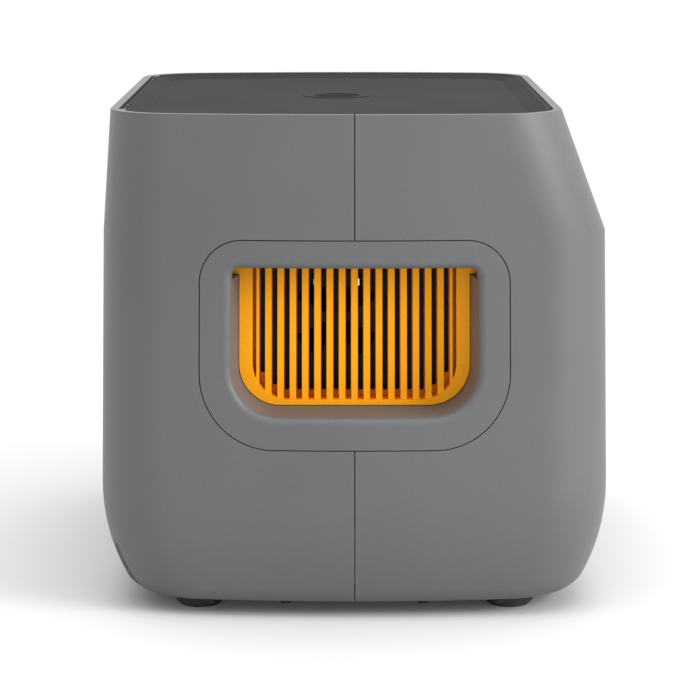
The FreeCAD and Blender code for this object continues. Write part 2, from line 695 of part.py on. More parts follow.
def make_handles(outer, band):
    """The handle surround and orange grille of the left side, and their mirror images."""
    gap = "panel_gap"
    plug = side_prism("panel_plug", ("-width / 2 - past", "-width / 2 + side_deep"),
                      (f"-panel_half + {gap}", f"panel_half - {gap}"),
                      (f"panel_low + {gap}", f"panel_high - {gap}"), f"panel_corner_low - {gap}",
                      f"panel_corner_high - {gap}")
    flange = common("panel_flange", band, plug)

    def bowl(name, grow):
        """The recess: a mouth that narrows to the grille, and the finger space behind the lip."""
        mouth = side_outline(f"{name}_mouth", "-width / 2 - 2 * past",
                             (f"-mouth_half - {grow}", f"mouth_half + {grow}"),
                             (f"mouth_low - {grow}", f"mouth_high + {grow}"), f"mouth_corner + {grow}",
                             f"lip_corner + {grow}")
        end = side_outline(f"{name}_end", "-width / 2 + grille_front",
                           (f"-grille_half - grille_gap - {grow}", f"grille_half + grille_gap + {grow}"),
                           (f"grille_low - grille_gap - {grow}", f"mouth_high + {grow}"),
                           f"grille_corner + {grow}",
                           f"lip_corner + {grow}")
        tail = side_prism(name + "_tail", ("-width / 2 + grille_front - 0.01", "-width / 2 + grille_back"),
                          (f"-grille_half - grille_gap - {grow}", f"grille_half + grille_gap + {grow}"),
                          (f"grille_low - grille_gap - {grow}", f"mouth_high + {grow}"),
                          f"grille_corner + {grow}",
                          f"lip_corner + {grow}")
        room = side_prism(name + "_room", (f"-width / 2 + lip - {grow} / 2", "-width / 2 + grille_back"),
                          (f"-ear_half - grille_gap - {grow}", f"ear_half + grille_gap + {grow}"),
                          (f"ear_low - grille_gap - {grow}", f"lip_room + {grow}"),
                          "1 + " + grow, f"lip_corner + {grow}")
        return fuse(name, [loft(name + "_loft", [mouth, end], ruled=True), tail, room])

    body = fuse("panel_body", [flange, common("bowl_in_skin", bowl("bowl_outside", "bowl_wall"), outer)])
    body = common("panel_trim", body, plug)
    surround = round_mouth(cut("surround_sharp", body, [bowl("bowl_inside", "0")]))
    node("left_handle_surround", surround)
    node("right_handle_surround", mirror("right_handle_surround", surround, "X"))

    face = "-width / 2 + "
    plate = side_prism("grille_plate", (face + "grille_front", face + "grille_back"),
                       ("-grille_half", "grille_half"),
                       ("grille_low", "grille_high"), "grille_corner", "1")
    ears = side_prism("grille_ears", (face + "grille_front", face + "grille_back"),
                      ("-ear_half", "ear_half"),
                      ("ear_low", "grille_high"), "1", "lip_corner + past")
    pocket = side_prism("grille_pocket", (face + "grille_front - past", face + "rib_front"),
                        ("-grille_half + grille_rim", "grille_half - grille_rim"),
                        ("grille_low + grille_sill", "grille_high - grille_crown"),
                        "grille_corner - grille_sill", "1")
    grille = cut("left_vent_grille", fuse("grille_raw", [plate, ears]), [pocket, *slot_cutters(face)])
    node("left_vent_grille", grille)
    node("right_vent_grille", mirror("right_vent_grille", grille, "X"))


def round_mouth(sharp):
    """Round the edge where the recess meets the outer face."""
    doc.recompute()
    reach, low, high = number("mouth_half") + 1, number("mouth_low") - 1, number("mouth_high") + 1
    face = number("mouth_half^2 / (2 * bow) - width / 2") + 1
    picked = []
    for index, edge in enumerate(sharp.Shape.Edges, start=1):
        box = edge.BoundBox
        if box.XMax < face and max(-box.YMin, box.YMax) < reach and box.ZMin > low and box.ZMax < high:
            picked.append((index, number("mouth_round"), number("mouth_round")))
    rounded = doc.addObject("Part::Fillet", "left_handle_surround")
    rounded.Base = sharp
    rounded.Edges = picked
    return rounded


def slot_cutters(face):
    """Gaps between the ribs, and the round-ended slots at the back of them."""
    gaps = [block(f"rib_gap_end_{i}", (face + "rib_front - past", face + "slot_plate"), span,
                  ("grille_low", "slot_high"))
            for i, span in enumerate((("-grille_half", "-rib_end"), ("rib_end", "grille_half")))]
    cutters = []
    count = int(number("slots"))
    for i in range(count):
        y = f"({i} - ({count} - 1) / 2) * slot_pitch"
        from_end = min(i, count - 1 - i)
        short = {0: "slot_end_step", 1: "slot_step"}.get(from_end, "0")
        low = f"slot_low + {short}"

        gaps.append(block(f"rib_gap_{i}", (face + "rib_front - past", face + "slot_plate"),
                          (f"{y} - slot_mouth / 2", f"{y} + slot_mouth / 2"), ("grille_low", "slot_high")))
        outline = side_outline(f"slot_outline_{i}", face + "slot_plate - 0.1",
                               (f"{y} - slot_width / 2", f"{y} + slot_width / 2"), (low, "slot_high"),
                               "slot_width * 0.49", "slot_top_round")
        cutters.append(extrude(f"slot_{i}", outline, "grille_back - slot_plate + past"))
    well = side_prism("grille_well", (face + "rib_front - past", face + "slot_plate"),
                      ("-grille_half + grille_rim", "grille_half - grille_rim"),
                      ("grille_low + grille_sill", "grille_high - grille_crown"),
                      "grille_corner - grille_sill", "1")
    return [common("rib_gaps", fuse("rib_gap_set", gaps), well), *cutters]


def make_base():
    """Base plate, feet and the screws that hold the shells."""
    plate = extrude("base_raw", plan_outline(
        "base_outline", "base_low", "width / 2 - tuck_sides - toe - wall - base_gap",
        "depth / 2 - tuck_ends - toe - wall - base_gap", "depth / 2 - tuck_ends - toe - wall - base_gap",
        "corner - wall - base_gap", "bow - wall - base_gap"), "base_high - base_low")
    holes = [rod(f"base_hole_{i}", "screw + 0.2", (x, y, "base_low - past"),
                 "base_high - base_low + 2 * past")
             for i, (x, y) in enumerate(boss_spots())]
    vents = [block(f"base_vent_{i}",
                   (f"blower_x - air_slot + {i} * base_vent_pitch",
                    f"blower_x - air_slot + base_vent + {i} * base_vent_pitch"),
                   ("tub_y - air_slot", "tub_y + air_slot"), ("base_low - past", "base_high + past"))
             for i in range(BASE_SLOTS)]
    node("base_plate", cut("base_plate", plate, holes + vents))

    feet = []
    for i, (sx, sy) in enumerate((sx, sy) for sx in "+-" for sy in "+-"):
        edge = cone(f"foot_edge_{i}", "foot - foot_taper - foot_edge", "foot - foot_taper",
                    (f"{sx}foot_x", f"{sy}foot_y", "0"), "foot_edge")
        body = cone(f"foot_body_{i}", "foot - foot_taper", "foot",
                    (f"{sx}foot_x", f"{sy}foot_y", "foot_edge"),
                    "base_low - foot_edge")
        feet.append(fuse(f"foot_{i}", [edge, body]))
    node("feet", group("feet", feet))
    node("base_screws", group("base_screws", [
        screw(f"base_screw_{i}", (x, y, "base_low"), "Z", -1) for i, (x, y) in enumerate(boss_spots())
    ]))


def cone(name, low_radius, high_radius, start, length):
    """An upright cone frustum."""
    frustum = doc.addObject("Part::Cone", name)
    bind(frustum, Radius1=low_radius, Radius2=high_radius, Height=length)
    return place(frustum, *start)


def screw(name, seat, along, side):
    """A pan-head screw: seat is under the head, which points to the given side of the axis."""
    index = "XYZ".index(along)
    head_start, shank_start = list(seat), list(seat)
    if side > 0:
        shank_start[index] = f"{seat[index]} - screw_length"
        head_start[index] = seat[index]
    else:
        head_start[index] = f"{seat[index]} - screw_head_high"
    head = rod(name + "_head", "screw_head", head_start, "screw_head_high", along)
    shank = rod(name + "_shank", "screw", shank_start, "screw_length", along)
    return fuse(name, [head, shank])


# ---------------------------------------------------------------- lid

def make_lid():
    """Tray, inner panel, seal and hinges."""
    raw = rim_prism("lid_block", "lid_low", "height", "rim + lid_gap")
    steps = ((1.0, "dish_floor"), (0.42, "dish_floor + (height - dish_floor) * 0.25"),
             (0.16, "dish_floor + (height - dish_floor) * 0.6"), (0.0, "height"), (-0.04, "height + past"))
    dish = loft("dish", [rim_outline(f"dish_{i}", level, "1",
                                     f"rim + lid_gap + lid_lip + dish_run * {share}")
                         for i, (share, level) in enumerate(steps)])
    hollow = rim_prism("lid_hollow", "lid_low - past", "lid_plate_low", "rim + lid_gap + lid_wall",
                       "rim + lid_gap + hinge_block")
    behind = [block("behind_hinge", ("-width", "width"), ("hinge_y", "depth"), ("0", "height + past"))]
    behind += [block(f"lid_corner_trim_{i}", span, ("hinge_y - corner_trim", "depth"),
                     ("0", "height + past"))
               for i, span in enumerate((("-width", "-barrel_half"), ("barrel_half", "width")))]
    barrel = rod("hinge_edge", "barrel", ("-barrel_half", "hinge_y", "hinge_z"), "2 * barrel_half", "X")
    tray = fuse("tray_raw", [cut("tray_dished", raw, [dish, hollow, *behind]), barrel])
    cutters = [
        rod("knob_recess", "knob + knob_gap", ("0", "lock_y", "knob_low"), "height - knob_low"),
        rod("spindle_hole", "spindle + running", ("0", "lock_y", "lid_low - past"), "10"),
        block("bar_slot", ("-bar_head - knob_gap", "bar_head + knob_gap"),
              ("-depth / 2", "-bar_neck - bar_room"),
              ("lid_low - past", "gear_high + 0.2")),
    ]
    lugs = []
    pins = []
    for i, sign in enumerate("+-"):
        middle = f"{sign}hinge_x"
        cutters.append(block(f"hinge_notch_{i}", (f"{middle} - hinge_notch", f"{middle} + hinge_notch"),
                             ("hinge_y - lug - lug_gap", "depth / 2"), ("0", "height + past")))
        cutters.append(rod(f"hinge_bore_{i}", "pin + running",
                           (f"{middle} - pin_half - pin_room", "hinge_y", "hinge_z"),
                           "2 * pin_half + 2 * pin_room", "X"))
        ring = rod(f"lug_ring_{i}", "lug", (f"{middle} - lug_half", "hinge_y", "hinge_z"), "2 * lug_half",
                   "X")
        post = block(f"lug_post_{i}", (f"{middle} - lug_half", f"{middle} + lug_half"),
                     ("hinge_y", "hinge_y + lug"),
                     ("ledge_top", "hinge_z"))
        hole = rod(f"lug_hole_{i}", "pin", (f"{middle} - lug_half - past", "hinge_y", "hinge_z"),
                   "2 * lug_half + 2 * past", "X")
        lugs.append(cut(f"lug_{i}", fuse(f"lug_raw_{i}", [ring, post]), [hole]))
        pins.append(rod(f"hinge_pin_{i}", "pin", (f"{middle} - pin_half", "hinge_y", "hinge_z"),
                        "2 * pin_half", "X"))
    node("lid_tray", cut("lid_tray", tray, cutters))
    node("lid_hinge_brackets", group("lid_hinge_brackets", lugs))
    node("lid_hinge_pins", group("lid_hinge_pins", pins))

    panel = rim_prism("liner_raw", "liner_low", "lid_low", "rim + ledge - rim + liner_gap",
                      "ledge_rear + liner_gap")
    node("lid_inner_panel", panel)
    outer = rim_prism("seal_outside", "ledge_top", "lid_low", "rim + lid_gap + seal_inset",
                      "depth / 2 - slope_rear - seal_rear")
    inner = rim_prism("seal_inside", "ledge_top - past", "lid_low + past",
                      "rim + lid_gap + seal_inset + seal",
                      "depth / 2 - slope_rear - seal_rear + seal")
    node("lid_seal", cut("lid_seal", outer, [inner]))


def pinion_outline():
    """Involute teeth, one gap facing +X, each flank from the base circle to the tip."""
    size, count = number("module_size"), int(number("teeth"))
    pitch = size * count / 2
    base = pitch * math.cos(PRESSURE)
    tip = pitch + 0.9 * size
    root = pitch - 1.1 * size
    roll = math.tan(PRESSURE) - PRESSURE
    half_tooth = math.pi / (2 * count) - number("backlash") / (4 * pitch)
    flank_steps = 6

    def flank(radius):
        angle = math.acos(base / radius)
        return half_tooth + roll - (math.tan(angle) - angle)

    radii = [base + (tip - base) * step / flank_steps for step in range(flank_steps + 1)]
    points = []
    for tooth in range(count):
        middle = (tooth + 0.5) * 2 * math.pi / count
        edge = [(root, flank(base))] + [(radius, flank(radius)) for radius in radii]
        points += [(radius, middle - angle) for radius, angle in edge]
        points += [(radius, middle + angle) for radius, angle in reversed(edge)]
    return [Vector(radius * math.cos(angle), radius * math.sin(angle), 0) for radius, angle in points]


def rack_outline():
    """The lock bar seen from above: a toothed shank beside the pinion and a wide head."""
    size = number("module_size")
    pitch_line = size * number("teeth") / 2
    pitch = math.pi * size
    tip_x = pitch_line - 0.8 * size
    root_x = pitch_line + 1.2 * size
    half = pitch / 4 - number("backlash") / 4
    tip_half = half - 0.8 * size * math.tan(PRESSURE)
    root_half = half + 1.2 * size * math.tan(PRESSURE)
    far, rear = number("bar_far"), number("bar_rear")
    neck, tip, head = number("bar_neck"), number("bar_tip"), number("bar_head")
    middle = number("lock_y")
    points = [Vector(root_x, rear, 0), Vector(far, rear, 0), Vector(far, -neck, 0), Vector(head, -neck, 0),
              Vector(head, -tip, 0), Vector(-head, -tip, 0), Vector(-head, -neck, 0),
              Vector(root_x, -neck, 0)]
    for tooth in range(-RACK_AHEAD, RACK_BEHIND + 1):
        y = middle + tooth * pitch
        points += [Vector(root_x, y - root_half, 0), Vector(tip_x, y - tip_half, 0),
                   Vector(tip_x, y + tip_half, 0), Vector(root_x, y + root_half, 0)]
    return points


def plate_feature(name, points, thickness):
    """A flat piece with a worked-out outline, as its own feature."""
    face = Part.Face(Part.makePolygon(points + points[:1]))
    feature = doc.addObject("Part::Feature", name)
    feature.Shape = face.extrude(Vector(0, 0, number(thickness)))
    return feature


def make_lock():
    """Knob, pinion, lock bar and its rails."""
    gear = plate_feature("pinion_teeth", pinion_outline(), "gear_high - gear_low")
    place(gear, "0", "lock_y", "gear_low")
    bore = rod("pinion_bore", "spindle_flat", ("0", "lock_y", "gear_low - past"),
               "gear_high - gear_low + 2 * past")
    node("knob_pinion", cut("knob_pinion", gear, [bore]))

    bar = plate_feature("lock_bar", rack_outline(), "gear_high - gear_low")
    node("lock_bar", place(bar, "0", "0", "gear_low"))

    disc = rod("knob_disc", "knob", ("0", "lock_y", "knob_low + running"), "knob_high - knob_low - running")
    dished = rod("knob_dished", "knob_centre", ("0", "lock_y", "knob_high - knob_dish"), "5")
    grip = block("knob_grip", ("-knob_grip / 2", "knob_grip / 2"),
                 ("lock_y - knob_centre - blend", "lock_y + knob_centre + blend"),
                 ("knob_low + blend", "knob_high"))
    spindle = rod("knob_spindle", "spindle", ("0", "lock_y", "gear_high + running"),
                  "knob_low + blend - gear_high")
    stub = rod("knob_stub", "spindle_flat", ("0", "lock_y", "gear_low"), "gear_high - gear_low + blend")
    node("lid_knob", fuse("lid_knob", [cut("knob_top", disc, [dished]), grip, spindle, stub]))

    rails = []
    root_x = "(module_size * teeth / 2 + 1.2 * module_size)"
    for i, y in enumerate(("-30", "-70")):
        rails.append(block(f"rail_near_{i}", (f"{root_x} - running - rail", f"{root_x} - running"),
                           (y, f"{y} + 14"),
                           ("lid_low", "lid_plate_low")))
        rails.append(block(f"rail_far_{i}", ("bar_far + running", "bar_far + running + rail"),
                           (y, f"{y} + 14"),
                           ("lid_low", "lid_plate_low")))
    node("lock_bar_rails", group("lock_bar_rails", rails))


# ---------------------------------------------------------------- chamber

def make_chamber():
    """The tub that holds the spools, with an air port in each end and its turning shutter."""
    outer = extrude("tub_outside", plan_rounded("tub_outside_outline", "tub_low", "0"),
                    "deck_top - tub_low")
    room = extrude("tub_inside", plan_rounded("tub_inside_outline", "tub_floor", "tub_wall"),
                   "deck_top - tub_floor + past")
    share = "((deck_top - crease) / (height - crease))"
    deck = extrude("deck_raw", rim_outline("deck_outline", "deck_top - deck", share, "wall + base_gap"),
                   "deck")
    cutters = [room]
    for i, sign in enumerate("-+"):
        cutters += port_openings(f"port_{i}", f"{sign}tub_half")
        cutters.append(rod(f"pin_hole_{i}", "shutter_pin", (f"{sign}tub_half - 6", "tub_y", "port_z"), "12",
                           "X"))
    cutters += [block(f"floor_slot_{i}",
                      (f"duct_left + duct_lip + {i} * floor_slot_pitch",
                       f"duct_left + duct_lip + floor_slot + {i} * floor_slot_pitch"),
                      ("tub_y - air_slot", "tub_y + air_slot"), ("tub_low - past", "tub_floor + past"))
                for i in range(FLOOR_SLOTS)]
    cutters += [rod(f"intake_{i}_{j}", "intake",
                    (f"blower_x + {i} * intake_pitch", f"tub_y + {j} * intake_pitch", "tub_low - past"),
                    "2 * tub_wall + 2 * past")
                for i in (-1, 0, 1) for j in (-2, -1, 0, 1, 2)]
    node("chamber_tub", cut("chamber_tub", fuse("tub_raw", [outer, deck]), cutters))

    start = "-tub_half - shutter_gap - shutter_plate"
    disc = rod("shutter_disc", "shutter", (start, "tub_y", "port_z"), "shutter_plate", "X")
    bore = rod("shutter_bore", "shutter_pin + running", ("-tub_half - 10", "tub_y", "port_z"), "12", "X")
    left = cut("left_vent_shutter", disc, [bore, *port_openings("shutter_opening", start)])
    node("left_vent_shutter", left)
    node("right_vent_shutter", mirror("right_vent_shutter", left, "X"))
    shank = rod("shutter_pin_shank", "shutter_pin", ("-tub_half - shutter_pin_length", "tub_y", "port_z"),
                "shutter_pin_length + tub_wall", "X")
    cap = rod("shutter_pin_cap", "shutter_pin + 1.5",
              ("-tub_half - shutter_pin_length - past", "tub_y", "port_z"), "1", "X")
    pin = fuse("shutter_pin_left", [shank, cap])
    node("shutter_pins", group("shutter_pins", [pin, mirror("shutter_pin_right", pin, "X")]))


def plan_rounded(name, level, inset):
    """The tub's rounded plan at a level."""
    sketch = rounded_outline(name, (f"-tub_half + {inset}", f"tub_half - {inset}"),
                             (f"tub_y - tub_deep + {inset}", f"tub_y + tub_deep - {inset}"),
                             f"tub_corner - {inset}", f"tub_corner - {inset}")
    return place(sketch, "0", "0", level)


def port_openings(name, x):
    """Sector openings round a hub, through a wall at x."""
    pieces = []
    count = int(number("port_count"))
    for i in range(count):
        sector = doc.addObject("Part::Cylinder", f"{name}_{i}")
        turn = f"{i} * 360 / {count} + 45 - port_angle / 2"
        sector.Placement = Placement(Vector(), Rotation(AXIS["X"], 0).multiply(LYING["X"]))
        bind(sector, Radius="port", Height="12", Angle="port_angle")
        sector.Placement = Placement(Vector(), Rotation(AXIS["X"], number(turn)).multiply(LYING["X"]))
        place(sector, f"{x} - 6", "tub_y", "port_z")
        hub = rod(f"{name}_hub_{i}", "port_hub", (f"{x} - 7", "tub_y", "port_z"), "14", "X")
        pieces.append(cut(f"{name}_sector_{i}", sector, [hub]))
    return pieces


def make_rollers():
    """Two shafts, their supports and two rollers below each spool."""
    run = "((spool + roller) * sin(roller_angle))"
    level = "(spool_z - (spool + roller) * cos(roller_angle))"
    supports = []
    for end, sign in (("front", "-"), ("rear", "+")):
        y = f"(tub_y {sign} {run})"
        node(f"{end}_roller_shaft",
             rod(f"{end}_roller_shaft", "shaft", ("-shaft_half", y, level), "2 * shaft_half", "X"))
        for i, x in enumerate(("-shaft_half + support / 2 + 0.2", "0", "shaft_half - support / 2 - 0.2")):
            post = block(f"{end}_post_{i}", (f"{x} - support / 2", f"{x} + support / 2"),
                         (f"{y} - support_half", f"{y} + support_half"),
                         ("tub_floor", f"{level} + support_top"))
            hole = rod(f"{end}_post_hole_{i}", "shaft", (f"{x} - support", y, level), "2 * support", "X")
            supports.append(cut(f"{end}_support_{i}", post, [hole]))
        for i, step in enumerate((-1.5, -0.5, 0.5, 1.5), start=1):
            node(f"{end}_roller_{i}", roller(f"{end}_roller_{i}", f"{step} * bay", y, level))
    node("roller_supports", group("roller_supports", supports))


def roller(name, x, y, level):
    """A turned roller with a flange at each end and a grooved grip ring."""
    tube = rod(name + "_tube", "roller", (f"{x} - roller_half", y, level), "2 * roller_half", "X")
    waist = rod(name + "_waist_out", "roller + past", (f"{x} - roller_half + 9", y, level),
                "2 * roller_half - 18", "X")
    core = rod(name + "_waist_in", "roller - 2 * past", (f"{x} - roller_half + 8", y, level),
               "2 * roller_half - 16", "X")
    bore = rod(name + "_bore", "shaft + running", (f"{x} - roller_half - past", y, level),
               "2 * roller_half + 2 * past", "X")
    return cut(name, tube, [cut(name + "_waist", waist, [core]), bore])


# ---------------------------------------------------------------- air and power

def make_blower():
    """A flat centrifugal blower under the chamber."""
    at = ("blower_x", "tub_y")
    shell = rod("blower_shell", "blower", (*at, "blower_low"), "blower_high - blower_low")
    outlet = block("blower_outlet", ("duct_right", "blower_x"),
                   ("tub_y - blower_outlet", "tub_y + blower_outlet"),
                   ("blower_low", "blower_high"))
    room = rod("blower_room", "blower - blower_wall", (*at, "blower_low + blower_wall"),
               "blower_high - blower_low - 2 * blower_wall")
    throat = block("blower_throat", ("duct_right - past", "blower_x"),
                   ("tub_y - blower_outlet + blower_wall", "tub_y + blower_outlet - blower_wall"),
                   ("blower_low + blower_wall", "blower_high - blower_wall"))
    inlet = rod("blower_inlet", "blower_inlet", (*at, "blower_high - blower_wall - past"), "10")
    node("blower_housing", cut("blower_housing", fuse("blower_raw", [shell, outlet]),
                               [fuse("blower_space", [room, throat]), inlet]))

    stator = rod("motor_can", "motor", (*at, "blower_low + blower_wall"),
                 "impeller_low - blower_low - blower_wall - 0.6")
    axle = rod("motor_axle", "axle", (*at, "impeller_low - past"), "motor_top - impeller_low")
    node("blower_motor", fuse("blower_motor", [stator, axle]))

    disc = rod("wheel_disc", "impeller", (*at, "impeller_low"), "1.5")
    ring_out = rod("wheel_ring_out", "impeller", (*at, "impeller_high - 1.5"), "1.5")
    ring_in = rod("wheel_ring_in", "impeller_in", (*at, "impeller_high - 3"), "4")
    ring = cut("wheel_ring", ring_out, [ring_in])
    hub = rod("wheel_hub", "motor", (*at, "impeller_low"), "motor_top + 3 - impeller_low")
    bore = rod("wheel_bore", "axle + running", (*at, "impeller_low - past"),
               "motor_top - impeller_low + past")
    count = int(number("blades"))
    vanes = []
    for i in range(count):
        turn = math.radians(i * 360 / count)
        lean = Rotation(AXIS["Z"], math.degrees(turn) + BLADE_LEAN)
        vane = doc.addObject("Part::Box", f"wheel_blade_{i}")
        bind(vane, Length="impeller - impeller_in - 1.5", Width="blade",
             Height="impeller_high - impeller_low - past")
        vane.Placement = Placement(Vector(), lean)
        vanes.append(place(vane, f"blower_x + (impeller_in + 0.8) * {math.cos(turn):.6f}",
                           f"tub_y + (impeller_in + 0.8) * {math.sin(turn):.6f}", "impeller_low + 0.5"))
    node("blower_wheel", cut("blower_wheel", fuse("wheel_raw", [disc, ring, hub, *vanes]), [bore]))


def make_heater():
    """The duct from the blower to the chamber floor, with a finned heater in it."""
    low, high = "blower_low", "tub_low"
    shell = block("duct_shell", ("duct_left", "duct_right"), ("tub_y - duct_half", "tub_y + duct_half"),
                  (low, high))
    room = block("duct_room", ("duct_left + duct_wall", "duct_right + past"),
                 ("tub_y - duct_half + duct_wall", "tub_y + duct_half - duct_wall"),
                 (f"{low} + duct_wall", "blower_high - duct_wall"))
    chimney = block("duct_chimney", ("duct_left + duct_wall", "heater_left - 6"),
                    ("tub_y - duct_half + duct_wall", "tub_y + duct_half - duct_wall"),
                    (f"{low} + duct_wall", f"{high} + past"))
    top = block("duct_top", ("heater_left - 4", "duct_right + past"), ("-depth / 2", "depth / 2"),
                ("blower_high", f"{high} + past"))
    node("heater_duct", cut("heater_duct", shell, [fuse("duct_space", [room, chimney]), top]))
    floor, roof = f"({low} + duct_wall)", "(blower_high - duct_wall)"
    bars = [block(f"heater_bar_{i}", ("heater_left", "heater_right"),
                  ("tub_y - duct_half + duct_wall", "tub_y + duct_half - duct_wall"),
                  (f"{level}", f"{level} + heater_bar"))
            for i, level in enumerate((floor, f"({roof} - heater_bar)",
                                       f"(({floor} + {roof} - heater_bar) / 2)"))]
    step = "((2 * duct_half - 2 * duct_wall - 2 * fin_inset - fin) / (fins - 1))"
    starts = [f"tub_y - duct_half + duct_wall + fin_inset + {i} * {step}"
              for i in range(int(number("fins")))]
    fins = [block(f"heater_fin_{i}", ("heater_left + fin", "heater_right - fin"), (start, f"{start} + fin"),
                  (floor, roof)) for i, start in enumerate(starts)]
    node("finned_heater", fuse("finned_heater", bars + fins))


def stand(name, x, y, high):
    """A short post on the base plate."""
    return rod(name, "post", (x, y, "base_high"), high)


def make_electronics():
    """Power supply, main board, sensor and the panel electronics."""
    posts = [stand(f"post_{i}", x, y, "standoff") for i, (x, y) in enumerate(
        [(x, y) for x in ("supply_left + post_inset", "supply_right - post_inset")
         for y in ("supply_front + post_inset", "supply_rear - post_inset")]
        + [(x, y) for x in ("board_left + 2 * post", "board_right - 2 * post")
           for y in ("board_front + 2 * post", "board_rear - 2 * post")])]
    node("stand_offs", group("stand_offs", posts))
    lift = "base_high + standoff"
    can = block("supply_can", ("supply_left", "supply_right"), ("supply_front", "supply_rear"),
                (lift, "supply_high"))
    vents = [block(f"supply_vent_{i}", ("supply_left + 12", "supply_right - 12"),
                   (f"supply_front + 14 + {i} * 9", f"supply_front + 18 + {i} * 9"),
                   ("supply_high - 1.5", "supply_high + past"))
             for i in range(SUPPLY_SLOTS)]
    node("power_supply", cut("power_supply", can, vents))
    board = block("main_board_plate", ("board_left", "board_right"), ("board_front", "board_rear"),
                  (lift, f"{lift} + board"))
    face = f"{lift} + board"
    chips = [
        block("main_chip", ("board_left + 40", "board_left + 54"), ("board_front + 20", "board_front + 34"),
              (face, f"{face} + 1.6")),
        block("relay_one", ("board_left + 66", "board_left + 85"), ("board_front + 8", "board_front + 24"),
              (face, f"{face} + 15")),
        block("relay_two", ("board_left + 66", "board_left + 85"), ("board_front + 28", "board_front + 44"),
              (face, f"{face} + 15")),
        block("terminals", ("board_left + 12", "board_left + 20"), ("board_front + 12", "board_rear - 10"),
              (face, f"{face} + 10")),
        rod("main_capacitor", "5", ("board_left + 30", "board_rear - 10", face), "18"),
    ]
    node("main_board", fuse("main_board", [board, *chips]))
    sensor_x = "-60"
    wall_y = "tub_y + tub_deep - tub_wall"
    plate = block("sensor_plate", (f"{sensor_x} - 9", f"{sensor_x} + 9"), (f"{wall_y} - board", wall_y),
                  ("250", "262"))
    head = block("sensor_head", (f"{sensor_x} - 3", f"{sensor_x} + 3"),
                 (f"{wall_y} - board - 2 * past", f"{wall_y} - board"), ("253", "259"))
    node("humidity_sensor", fuse("humidity_sensor", [plate, head]))


def make_front_panel():
    """Glass, display, board and buttons, all set square to the sloping panel."""
    glass = rounded_prism("display_glass", ("-glass_half", "glass_half"), ("-glass_rise", "glass_rise"),
                          "glass", "glass_edge")
    node("display_glass", on_slope(glass, "0", "0", "-glass"))
    module = rounded_prism("display_module", ("-glass_half + 2 * past", "glass_half - 2 * past"),
                           ("-glass_rise + 1.5", "glass_rise - 1.5"),
                           "module_low - glass - 0.2", "1")
    node("display_module", on_slope(module, "0", "0", "-module_low"))
    plate = rounded_prism("panel_plate", ("panel_board_left", "panel_board_right"),
                          ("-panel_board_rise", "panel_board_rise"), "board", "2")
    switches = []
    for i in range(BUTTONS):
        switches.append(rounded_prism(f"key_switch_{i}", (f"button_x + {i} * button_pitch - switch_half",
                                      f"button_x + {i} * button_pitch + switch_half"),
                                      ("-switch_half", "switch_half"),
                                      "panel_board - switch_top + 0.2", "0.5"))
        switches[-1] = on_slope(switches[-1], "0", "0", "-panel_board - 0.2")
    board = on_slope(plate, "0", "0", "-panel_board - board")
    node("panel_board", fuse("panel_board", [board, *switches]))
    for i, name in enumerate(("power_button", "up_button", "down_button")):
        profile = [("button", "-button_flange_top", "button_flange_top"),
                   ("button_flange", "-button_flange_low", "button_flange_low - button_flange_top"),
                   ("button_stem", "-button_stem_low", "button_stem_low - button_flange_low + 0.5")]
        discs = [on_slope(rod(f"{name}_{step}", radius, ("0", "0", "0"), length),
                          f"button_x + {i} * button_pitch", "0", start)
                 for step, (radius, start, length) in enumerate(profile)]
        node(name, fuse(name, discs))


def make_power_panel(outer):
    """The niche in the rear with mains inlet and rocker switch."""
    box = block("niche_box", ("niche_left", "niche_right"), ("niche_back - niche_wall", "depth / 2 + past"),
                ("niche_low", "niche_high"))
    room = block("niche_room", ("niche_left + niche_shoulder", "niche_right - niche_wall"),
                 ("niche_back", "depth / 2 + 2 * past"),
                 ("niche_low + niche_wall", "niche_high - niche_wall"))
    inlet_hole = block("inlet_hole", ("inlet_x - inlet_half", "inlet_x + inlet_half"),
                       ("niche_back - 5", "niche_back + past"),
                       ("power_z - inlet_rise", "power_z + inlet_rise"))
    switch_hole = block("switch_hole", ("switch_x - rocker_half", "switch_x + rocker_half"),
                        ("niche_back - 5", "niche_back + past"),
                        ("power_z - rocker_rise", "power_z + rocker_rise"))
    panel = common("niche_trimmed", cut("niche_raw", box, [room, inlet_hole, switch_hole]), outer)
    node("power_panel", panel)

    body = side_block("inlet_body", "inlet_x", "inlet_half", "inlet_rise",
                      ("inlet_deep", "niche_back + bezel"))
    socket = side_block("inlet_socket", "inlet_x", "inlet_socket_half", "inlet_socket_rise",
                        ("socket_back", "niche_back + 5"))
    blades = [side_block(f"inlet_blade_{i}", f"inlet_x + {step} * blade_pitch", "1", "blade_half",
                         ("inlet_deep - 6", "niche_back - 2 * past")) for i, step in enumerate((-1, 0, 1))]
    node("mains_inlet", fuse("mains_inlet", [cut("inlet_shell", body, [socket]), *blades]))

    case = side_block("switch_case", "switch_x", "rocker_half", "rocker_rise",
                      ("rocker_back", "niche_back"))
    bezel = side_block("switch_bezel", "switch_x", "rocker_half + bezel", "rocker_rise + bezel",
                       ("niche_back", "niche_back + bezel"))
    room = side_block("switch_room", "switch_x", "rocker_room_half", "rocker_room_rise",
                      ("rocker_back + 4", "niche_back + 5"))
    pin = rod("rocker_pin", "rocker_pin", ("switch_x", "rocker_axis", "power_z - rocker_room_rise"),
              "2 * rocker_room_rise")
    node("rocker_switch_body", fuse("rocker_switch_body",
                                    [cut("switch_shell", fuse("switch_raw", [case, bezel]), [room]), pin]))
    paddle = side_block("rocker_paddle", "switch_x", "rocker_long", "rocker_tall",
                        ("rocker_axis - 3.5", "rocker_front"))
    hole = rod("rocker_hole", "rocker_pin + running", ("switch_x", "rocker_axis", "0"), "60")
    node("rocker", cut("rocker", paddle, [hole]))


